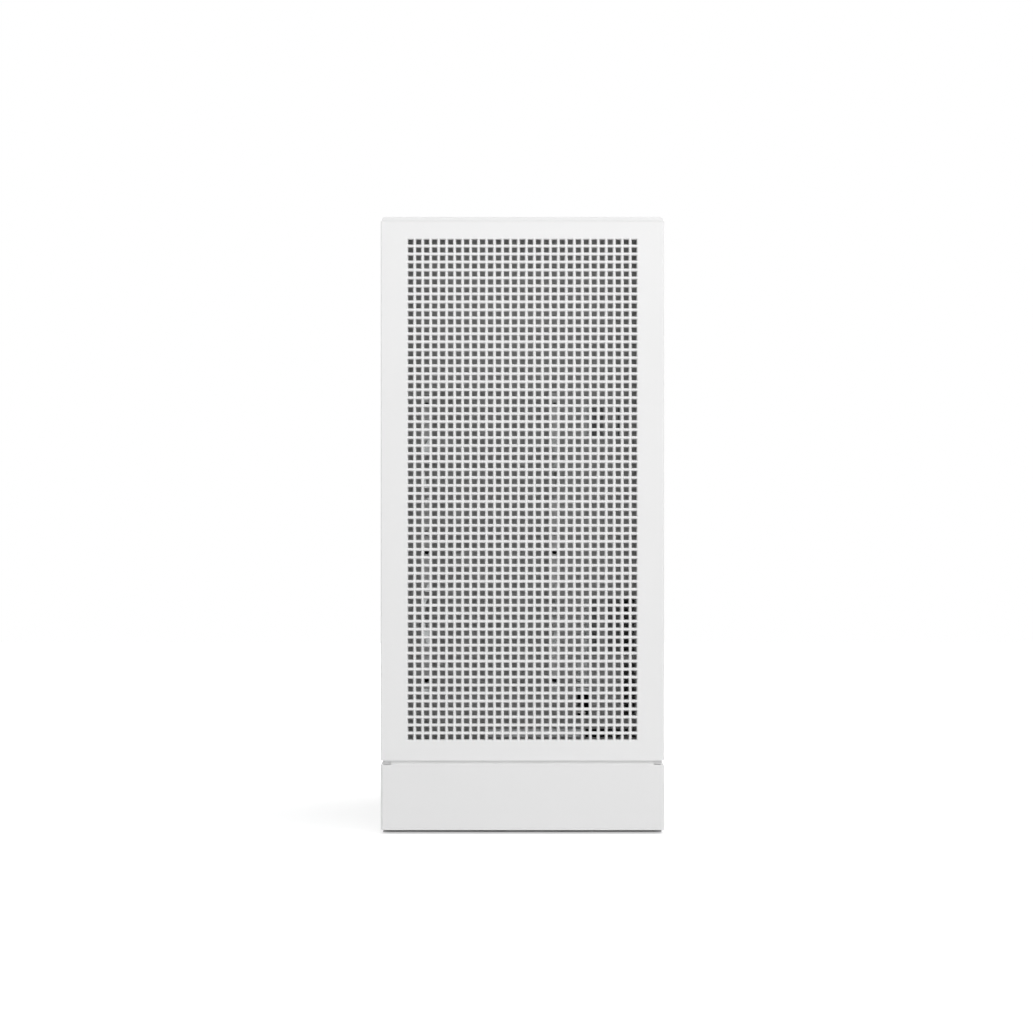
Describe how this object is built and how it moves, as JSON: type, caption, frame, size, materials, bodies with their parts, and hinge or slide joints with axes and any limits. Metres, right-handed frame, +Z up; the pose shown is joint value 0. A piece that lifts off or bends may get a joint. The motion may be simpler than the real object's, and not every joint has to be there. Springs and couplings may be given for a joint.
{
  "type": "desktop computer tower",
  "caption": "White desktop computer tower with a pierced square-hole front, plain base band, glass left side, removable panels and complete insides.",
  "frame": {"origin": "on the floor under the middle of the case", "axes": "+X to the right seen from the front, +Y towards the back, +Z up"},
  "size_m": [0.23, 0.48, 0.5006],
  "materials": {
    "front_white": "fine moulded satin",
    "white_steel": "smooth powder coat",
    "white_plastic": "satin moulded",
    "inner_white": "powder coat",
    "fan_white": "satin",
    "glass": "clear tempered",
    "rubber": "matte",
    "dark_plastic": "fine grain",
    "dark_metal": "fine texture",
    "bare_steel": "zinc plated",
    "nickel": "nickel plated",
    "fin_aluminium": "bare",
    "board": "solder mask",
    "filter_cloth": "fine nylon mesh",
    "lead_white": "sleeved"
  },
  "bodies": {
    "chassis": {"base_skirt": "white_steel", "base_deck": "white_plastic", "floor_plate": "inner_white", "front_foot_bar": "white_plastic", "rear_foot_bar": "white_plastic", "foot_pads": "rubber", "filter_runners": "inner_white", "front_plate": "inner_white", "rear_panel": "inner_white", "motherboard_tray": "inner_white", "top_frame": "inner_white", "psu_shroud": "inner_white", "cable_cover": "inner_white", "side_ledges": "inner_white", "intake_filter": "filter_cloth", "lower_fan_frame": "fan_white", "upper_fan_frame": "fan_white", "rear_fan_frame": "fan_white", "cooler_fan_frame": "fan_white", "top_cover": "white_steel", "port_block": "dark_plastic", "front_ports": "nickel", "headset_jack": "dark_plastic", "psu_housing": "dark_metal", "psu_guard": "nickel", "psu_board": "board", "psu_sockets": "dark_plastic", "motherboard": "board", "board_standoffs": "nickel", "board_heatsinks": "fin_aluminium", "rear_ports": "bare_steel", "processor": "nickel", "cooler_heatsink": "fin_aluminium", "memory_modules": "fan_white", "expansion_slots": "dark_plastic", "graphics_board": "board", "graphics_shroud": "fan_white", "graphics_metalwork": "bare_steel", "drive_cage": "bare_steel", "hard_drives": "fin_aluminium", "thumb_screws": "nickel", "board_power_lead": "lead_white", "card_power_lead": "lead_white"},
    "front_panel": {"front_mesh": "front_white", "front_panel_frame": "white_plastic"},
    "lid": {"top_panel": "white_steel", "top_filter": "filter_cloth"},
    "left_side": {"glass_pane": "glass", "glass_rails": "white_steel"},
    "right_side": {"steel_side_panel": "white_steel"},
    "dust_drawer": {"floor_filter": "white_plastic"},
    "button": {"power_button": "white_plastic"},
    "supply_switch": {"psu_rocker": "dark_plastic"},
    "lower_fan": {"lower_fan_rotor": "fan_white"},
    "upper_fan": {"upper_fan_rotor": "fan_white"},
    "rear_fan": {"rear_fan_rotor": "fan_white"},
    "cooler_fan": {"cooler_fan_rotor": "fan_white"},
    "supply_fan": {"psu_fan_rotor": "dark_plastic"},
    "card_front_fan": {"card_front_rotor": "fan_white"},
    "card_back_fan": {"card_back_rotor": "fan_white"}
  },
  "joints": [
    {"name": "front_panel_pull", "type": "slide", "parent": "chassis", "child": "front_panel", "axis": [0, -1, 0], "range_m": [0, 0.08]},
    {"name": "lid_lift", "type": "slide", "parent": "chassis", "child": "lid", "axis": [0, 0, 1], "range_m": [0, 0.06]},
    {"name": "glass_side_pull", "type": "slide", "parent": "chassis", "child": "left_side", "axis": [-1, 0, 0], "range_m": [0, 0.08]},
    {"name": "steel_side_pull", "type": "slide", "parent": "chassis", "child": "right_side", "axis": [1, 0, 0], "range_m": [0, 0.08]},
    {"name": "dust_filter_slide", "type": "slide", "parent": "chassis", "child": "dust_drawer", "axis": [0, 1, 0], "range_m": [0, 0.15]},
    {"name": "power_button_press", "type": "slide", "parent": "chassis", "child": "button", "axis": [0, 0, -1], "range_m": [0, 0.002], "stiffness_N_per_m": 300, "springref_m": -0.001},
    {"name": "supply_switch_rock", "type": "hinge", "parent": "chassis", "child": "supply_switch", "pos_m": [0.047, 0.2285, 0.0734], "axis": [0, 0, 1], "range_deg": [-8, 8]},
    {"name": "lower_fan_spin", "type": "hinge", "parent": "chassis", "child": "lower_fan", "pos_m": [-0.026, -0.2015, 0.1764], "axis": [0, 1, 0], "continuous": true},
    {"name": "upper_fan_spin", "type": "hinge", "parent": "chassis", "child": "upper_fan", "pos_m": [-0.026, -0.2015, 0.2964], "axis": [0, 1, 0], "continuous": true},
    {"name": "rear_fan_spin", "type": "hinge", "parent": "chassis", "child": "rear_fan", "pos_m": [-0.032, 0.2155, 0.361], "axis": [0, 1, 0], "continuous": true},
    {"name": "cooler_fan_spin", "type": "hinge", "parent": "chassis", "child": "cooler_fan", "pos_m": [0.003, 0.0965, 0.361], "axis": [0, 1, 0], "continuous": true},
    {"name": "supply_fan_spin", "type": "hinge", "parent": "chassis", "child": "supply_fan", "pos_m": [0, 0.154, 0.0364], "axis": [0, 0, 1], "continuous": true},
    {"name": "card_front_fan_spin", "type": "hinge", "parent": "chassis", "child": "card_front_fan", "pos_m": [0.01, 0.0235, 0.21108], "axis": [0, 0, 1], "continuous": true},
    {"name": "card_back_fan_spin", "type": "hinge", "parent": "chassis", "child": "card_back_fan", "pos_m": [0.01, 0.1655, 0.21108], "axis": [0, 0, 1], "continuous": true}
  ]
}
